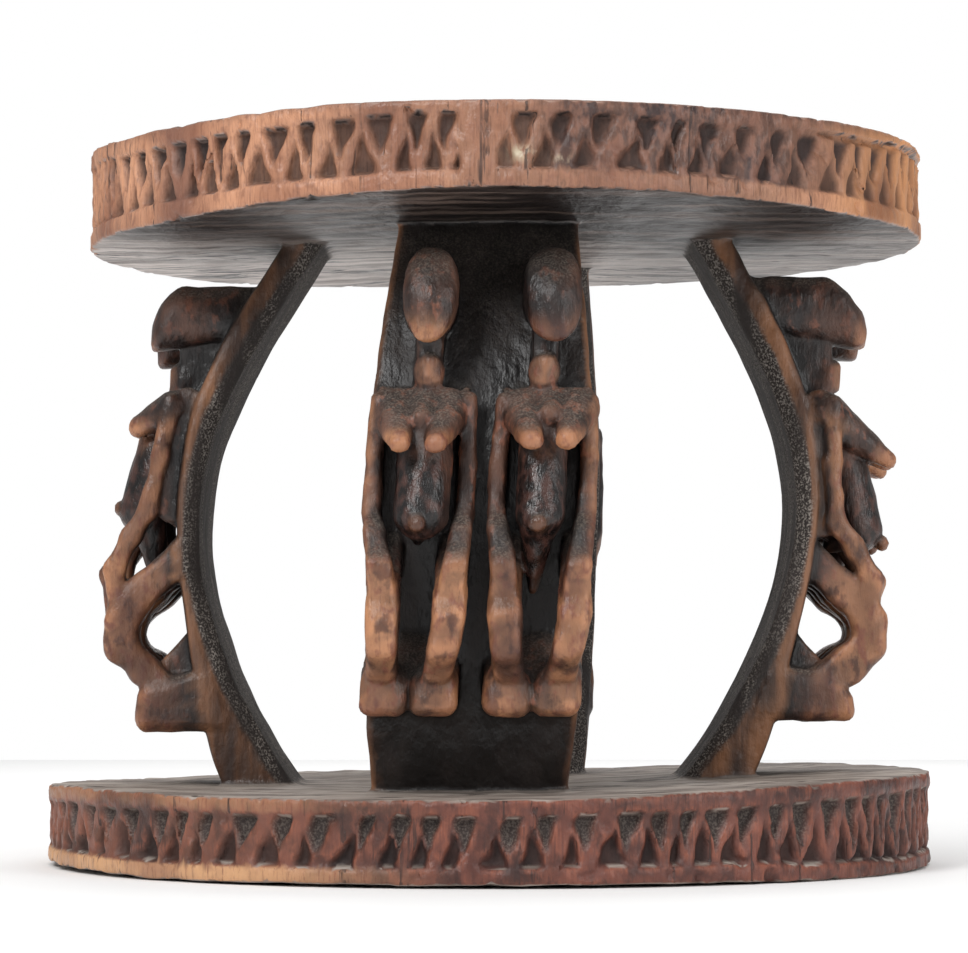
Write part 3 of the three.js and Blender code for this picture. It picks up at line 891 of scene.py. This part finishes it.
class Nodes:
    """Short calls for building a node tree."""

    def __init__(self, material):
        material.use_nodes = True
        self.tree = material.node_tree
        self.tree.nodes.clear()
        self.place = self.add("ShaderNodeTexCoord").outputs["Object"]

    def add(self, kind, **settings):
        node = self.tree.nodes.new(kind)
        for key, value in settings.items():
            setattr(node, key, value)
        return node

    def link(self, source, target):
        self.tree.links.new(source, target)

    def put(self, socket, value):
        if isinstance(value, bpy.types.NodeSocket):
            self.link(value, socket)
        else:
            socket.default_value = value

    def mask(self, name):
        return self.add("ShaderNodeAttribute", attribute_name=name).outputs["Fac"]

    def math(self, operation, a, b=0.0, c=0.0):
        node = self.add("ShaderNodeMath", operation=operation)
        for socket, value in zip(node.inputs, (a, b, c)):
            self.put(socket, value)
        return node.outputs[0]

    def both(self, *values):
        """Product of several masks."""
        result = values[0]
        for value in values[1:]:
            result = self.math("MULTIPLY", result, value)
        return result

    def noise(self, scale, stretch=(1, 1, 1), detail=4.0, roughness=0.55, move=(0, 0, 0)):
        mapping = self.add("ShaderNodeMapping")
        mapping.inputs["Scale"].default_value = stretch
        mapping.inputs["Location"].default_value = move
        self.link(self.place, mapping.inputs["Vector"])
        node = self.add("ShaderNodeTexNoise")
        node.inputs["Scale"].default_value = scale
        node.inputs["Detail"].default_value = detail
        node.inputs["Roughness"].default_value = roughness
        self.link(mapping.outputs[0], node.inputs["Vector"])
        return node.outputs["Fac"]

    def band(self, value, low, high):
        node = self.add("ShaderNodeMapRange", interpolation_type="SMOOTHSTEP")
        self.put(node.inputs["Value"], value)
        node.inputs["From Min"].default_value = low
        node.inputs["From Max"].default_value = high
        return node.outputs["Result"]

    def line(self, value, width):
        """Thin lines where a noise crosses its middle."""
        from_middle = self.math("ABSOLUTE", self.math("SUBTRACT", value, 0.5))
        return self.math("SUBTRACT", 1.0, self.band(from_middle, width * 0.4, width))

    def mix(self, factor, a, b):
        node = self.add("ShaderNodeMix", data_type="RGBA")
        self.put(node.inputs["Factor"], factor)
        colours = [i for i in node.inputs if i.type == "RGBA"]
        self.put(colours[0], a)
        self.put(colours[1], b)
        return [o for o in node.outputs if o.type == "RGBA"][0]

    def tones(self, value, low, high, name):
        """A pair of tones, from dark to pale as the value goes from low to high."""
        dark, pale = TONES[name]
        return self.mix(self.band(value, low, high), colour(dark), colour(pale))

    def tint(self, under, factor, name):
        """Lays a tint over what is under it, as far as the factor says."""
        return self.mix(factor, under, colour(TINTS[name]))


# Material: worn carved wood
class Wood(Nodes):
    """Noises that the wood's colours share: upright grain, and streaks along X for the flat faces."""

    def __init__(self, material):
        super().__init__(material)
        self.fibres = self.noise(900.0, (1, 1, 0.09), 5.0, 0.62)
        self.streaks = self.noise(75.0, (1, 1, 0.14), 4.0, 0.55)
        self.blotch = self.noise(24.0, (1, 1, 0.7), 4.0, 0.55)
        self.patches = self.noise(11.0, (1, 1, 0.5), 2.0, 0.5, (3.1, 0.7, 0.0))
        self.speck = self.noise(1100.0, (1, 1, 1), 2.0, 0.5)
        self.flat_streaks = self.noise(95.0, (0.10, 1, 1), 6.0, 0.62)
        self.flat_cracks = self.noise(38.0, (0.13, 1, 1), 5.0, 0.6, (0.4, 0.2, 0.1))
        self.checks = self.noise(330.0, (1, 1, 0.035), 2.0, 0.5, (0.6, 0.1, 0.0))
        self.lumps = self.noise(240.0, (1, 1, 0.6), 3.0, 0.5)
        self.facets = self.noise(105.0, (1, 1, 0.6), 4.0, 0.6, (1.3, 0.2, 0.5))
        self.ticks = self.both(self.band(self.checks, 0.66, 0.72), self.mask("rim"),
                               self.band(self.blotch, 0.36, 0.5))

    def cracks(self, width, low, high):
        """Thin cracks on the flat faces, where the blotches let them show."""
        return self.both(self.line(self.flat_cracks, width), self.band(self.blotch, low, high))


def supports_colour(n):
    """Near black, rubbed to brown and orange where hands and feet touch, dusty and grey inside."""
    panel = n.tones(n.streaks, 0.35, 0.7, "panel")
    raised = n.tones(n.streaks, 0.3, 0.7, "relief")
    raised = n.tint(raised, n.band(n.lumps, 0.52, 0.66), "relief_warm")
    raised = n.tint(raised, n.both(n.band(n.facets, 0.50, 0.64), 0.7), "relief_black")
    body = n.mix(n.both(n.mask("relief"), n.band(n.blotch, 0.30, 0.62)), panel, raised)
    body = n.mix(n.mask("belly"), body, n.tones(n.lumps, 0.40, 0.68, "belly"))
    strip = n.tones(n.streaks, 0.32, 0.66, "side_strip")
    body = n.mix(n.both(n.mask("side_strip"), n.band(n.blotch, 0.22, 0.5)), body, strip)

    rubbed = n.tones(n.blotch, 0.32, 0.66, "rubbed")
    rubbed = n.tint(rubbed, n.band(n.lumps, 0.50, 0.70), "rubbed_dark")
    rubbed = n.tint(rubbed, n.band(n.fibres, 0.55, 0.8), "rubbed_grain")
    rubbed = n.tint(rubbed, n.both(n.band(n.facets, 0.52, 0.66), 0.8), "rubbed_cuts")
    touched = n.band(n.math("MULTIPLY_ADD", n.mask("wear"), 0.5, 0.58), 0.35, 0.85)
    touched = n.both(n.mask("polish"), touched, n.band(n.patches, 0.20, 0.42))
    body = n.mix(touched, body, rubbed)
    edges = n.both(n.mask("wear"), n.band(n.blotch, 0.40, 0.60))
    more = n.math("MULTIPLY_ADD", n.mask("polish"), 0.35, 0.40)
    body = n.tint(body, n.both(edges, more), "worn_edge")

    dust = n.tones(n.speck, 0.4, 0.65, "dust")
    body = n.mix(n.both(n.mask("dust"), n.band(n.fibres, 0.25, 0.6), 0.62), body, dust)
    grey = n.tones(n.speck, 0.46, 0.66, "inner_face")
    grey = n.mix(n.band(n.streaks, 0.35, 0.6), colour(TINTS["inner_dark"]), grey)
    return n.mix(n.math("MULTIPLY", n.mask("inner_face"), 0.92), body, grey)


def seat_colour(n):
    """Orange-brown rim with smoky, golden and crusted places, silvery underside blackened by sooty dirt and
    painted shade, brown top.
    """
    rim = n.tones(n.blotch, 0.30, 0.66, "seat_rim")
    rim = n.tint(rim, n.band(n.patches, 0.50, 0.68), "seat_brown")
    rim = n.tint(rim, n.both(n.band(n.fibres, 0.42, 0.72), 0.6), "seat_grain")
    rim = n.tint(rim, n.both(n.band(n.lumps, 0.52, 0.74), 0.5), "seat_stain")
    rim = n.mix(n.mask("gold"), rim, n.tones(n.blotch, 0.30, 0.60, "seat_honey"))
    uneven = n.math("MULTIPLY_ADD", n.band(n.blotch, 0.3, 0.62), 0.5, 0.62)
    darkening = n.tones(n.lumps, 0.40, 0.66, "seat_smoke")
    rim = n.mix(n.both(n.mask("darkening"), uneven), rim, darkening)
    rim = n.tint(rim, n.both(n.mask("crust"), n.band(n.lumps, 0.38, 0.52)), "crust")

    faces = n.tones(n.flat_streaks, 0.32, 0.62, "underside")
    stains = n.both(n.band(n.flat_cracks, 0.52, 0.70), 0.7)
    faces = n.tint(faces, stains, "underside_stain")
    faces = n.tint(faces, n.cracks(0.020, 0.35, 0.55), "underside_crack")
    # Sooty dirt and painted shade on the underside, darkest towards the front and the right
    black = n.tones(n.flat_streaks, 0.46, 0.66, "underside_soot_and_shade")
    faces = n.mix(n.mask("darkening"), faces, black)
    top = n.tones(n.flat_streaks, 0.34, 0.66, "seat_top")
    top = n.tint(top, n.cracks(0.010, 0.4, 0.6), "seat_top_crack")
    faces = n.mix(n.mask("dust"), faces, top)
    return n.mix(n.mask("rim"), faces, rim)


def base_colour(n):
    """Dark red-brown rim, rubbed golden on the left, and a dusty grey top."""
    rim = n.tones(n.blotch, 0.32, 0.62, "base_rim")
    worn = n.both(n.mask("wear"), n.band(n.fibres, 0.30, 0.6), 0.7)
    rim = n.tint(rim, worn, "base_worn")
    rim = n.tint(rim, n.both(n.band(n.facets, 0.50, 0.64), 0.6), "base_cuts")
    gold = n.tones(n.blotch, 0.30, 0.60, "base_gold")
    gold = n.tint(gold, n.band(n.fibres, 0.50, 0.75), "base_gold_grain")
    rim = n.mix(n.mask("gold"), rim, gold)
    top = n.tones(n.flat_streaks, 0.32, 0.64, "base_top")
    top = n.tint(top, n.cracks(0.014, 0.4, 0.6), "base_top_crack")
    return n.mix(n.mask("rim"), top, rim)


def whole_colour(n):
    """All parts together, with sooty dirt and painted shade in the rims' pits, dust in the base's upper pits,
    painted shade in the hollows, and fine dark ticks in the rims.
    """
    whole = n.mix(n.mask("seat"), supports_colour(n), seat_colour(n))
    whole = n.mix(n.mask("base"), whole, base_colour(n))
    # Sooty dirt and painted shade in patches of the rims' pits, most in the upper pits
    pit_soot_and_shade = n.tones(n.blotch, 0.4, 0.6, "pit_soot_and_shade")
    soot_and_shade_weight = n.math("MULTIPLY_ADD", n.mask("upper_pit"), 0.35, 0.60)
    whole = n.mix(n.both(n.mask("pit"), n.band(n.patches, 0.22, 0.5), soot_and_shade_weight), whole, pit_soot_and_shade)
    settled = n.tones(n.speck, 0.42, 0.66, "settled_dust")
    whole = n.mix(n.both(n.mask("upper_pit"), n.mask("base"), 0.7), whole, settled)
    whole = n.tint(whole, n.math("MULTIPLY", n.ticks, 0.8), "tick")
    # Painted shade darkens the hollows
    return n.tint(whole, n.both(n.mask("painted_recess_shade"), 0.55), "painted_recess_shade")


def wood_roughness(n):
    """Dull where it is dusty or weathered, glossiest on the bellies."""
    dull = n.math("MAXIMUM", n.mask("dust"), n.mask("pit"))
    dull = n.math("MAXIMUM", n.mask("inner_face"), dull)
    rough = n.math("MULTIPLY_ADD", n.band(n.streaks, 0.3, 0.7), 0.14, 0.36)
    rough = n.math("MULTIPLY_ADD", n.mask("belly"), -0.12, rough)
    return n.math("MULTIPLY_ADD", dull, 0.30, rough)


def wood_height(n):
    """Fibres, ticks and small tool marks."""
    height = n.math("MULTIPLY_ADD", n.fibres, 0.40, n.math("MULTIPLY", n.speck, 0.16))
    height = n.math("SUBTRACT", height, n.math("MULTIPLY", n.ticks, 0.5))
    height = n.math("MULTIPLY_ADD", n.lumps, 1.5, height)
    return n.math("MULTIPLY_ADD", n.facets, 2.2, height)


def carved_wood():
    material = bpy.data.materials.new("carved_wood")
    n = Wood(material)
    shader = n.add("ShaderNodeBsdfPrincipled")
    n.link(whole_colour(n), shader.inputs["Base Color"])
    n.link(wood_roughness(n), shader.inputs["Roughness"])
    shader.inputs["Specular IOR Level"].default_value = 0.5
    bump = n.add("ShaderNodeBump")
    bump.inputs["Strength"].default_value = 0.6
    bump.inputs["Distance"].default_value = 0.0009
    n.link(wood_height(n), bump.inputs["Height"])
    n.link(bump.outputs[0], shader.inputs["Normal"])
    n.link(shader.outputs[0], n.add("ShaderNodeOutputMaterial").inputs["Surface"])
    return material


axes = grid_axes()
field = build_field(axes)
stool = sculpt(field)
add_masks(stool.data, field)
stool.data.materials.clear()
stool.data.materials.append(carved_wood())
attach(stool, "root")
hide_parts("stool")

# Studio, in metres and watts. Its walls look white, and light the stool less than they look.
FLOOR_SIZE = 3.2
FLOOR_WHITE = (0.92, 0.92, 0.92, 1.0)
FLOOR_SHADE = (0.9062, 0.9062, 0.9016, 1.0)
FLOOR_ROUGHNESS = 0.9
WALLS_LIGHT = 0.4
LIGHTS = {
    "key": dict(place=(-1.0, -1.7, 1.5), target=(0, 0, 0.16), size=(0.7, 0.7), power=30),
    "fill": dict(place=(1.4, -1.3, 0.7), target=(0, 0, 0.16), size=(0.6, 0.9), power=10),
    "rear": dict(place=(0.3, 1.5, 1.3), target=(0, 0, 0.2), size=(1.4, 0.8), power=12),
    "top": dict(place=(0.0, 0.02, 1.9), target=(0, 0, 0.0), size=(2.0, 2.0), power=20),
}


def floor_material():
    material = bpy.data.materials.new("floor")
    n = Nodes(material)
    shader = n.add("ShaderNodeBsdfPrincipled")
    n.link(n.mix(n.noise(3.0), FLOOR_WHITE, FLOOR_SHADE), shader.inputs["Base Color"])
    shader.inputs["Roughness"].default_value = FLOOR_ROUGHNESS
    n.link(shader.outputs[0], n.add("ShaderNodeOutputMaterial").inputs["Surface"])
    return material


def studio_walls():
    world = bpy.data.worlds.new("studio")
    world.use_nodes = True
    tree = world.node_tree
    background = tree.nodes["Background"]
    background.inputs["Color"].default_value = (1.0, 1.0, 1.0, 1.0)
    seen = tree.nodes.new("ShaderNodeMapRange")
    seen.inputs["To Min"].default_value = WALLS_LIGHT
    seen.inputs["To Max"].default_value = 1.0
    tree.links.new(tree.nodes.new("ShaderNodeLightPath").outputs["Is Camera Ray"], seen.inputs["Value"])
    tree.links.new(seen.outputs["Result"], background.inputs["Strength"])
    return world


def pose_matrix(place, side, up, back):
    """The matrix of an object that looks along minus back."""
    matrix = Matrix.Identity(4)
    for i in range(3):
        matrix[i][0] = side[i]
        matrix[i][1] = up[i]
        matrix[i][2] = back[i]
        matrix[i][3] = place[i]
    return matrix


def add_light(name, place, target, size, power):
    data = bpy.data.lights.new(name, "AREA")
    data.shape = "RECTANGLE"
    data.size = size[0]
    data.size_y = size[1]
    data.energy = power
    light = bpy.data.objects.new(name, data)
    aim = np.array(target) - np.array(place)
    aim = aim / np.linalg.norm(aim)
    side = np.cross(aim, (0.0, 0.0, 1.0))
    side = side / np.linalg.norm(side)
    light.matrix_world = pose_matrix(place, side, np.cross(side, aim), -aim)
    bpy.context.scene.collection.objects.link(light)


def add_camera():
    data = bpy.data.cameras.new("camera")
    data.sensor_width = SENSOR_WIDTH
    data.lens = FOCAL_PIXELS * SENSOR_WIDTH / IMAGE_WIDTH
    data.clip_end = 50.0
    camera = bpy.data.objects.new("camera", data)
    level = math.cos(CAMERA_PITCH)
    forward = np.array([math.sin(CAMERA_YAW) * level, math.cos(CAMERA_YAW) * level, math.sin(CAMERA_PITCH)])
    right = np.array([math.cos(CAMERA_YAW), -math.sin(CAMERA_YAW), 0.0])
    camera.matrix_world = pose_matrix(CAMERA_PLACE, right, np.cross(right, forward), -forward)
    bpy.context.scene.collection.objects.link(camera)
    return camera


bpy.ops.mesh.primitive_plane_add(size=FLOOR_SIZE, location=(0.0, 0.0, 0.0))
floor = bpy.context.object
floor.name = "floor"
floor.data.materials.append(floor_material())

bpy.context.scene.world = studio_walls()
bpy.context.scene.view_settings.view_transform = "Standard"
for name, light in LIGHTS.items():
    add_light(name, **light)
bpy.context.scene.camera = add_camera()
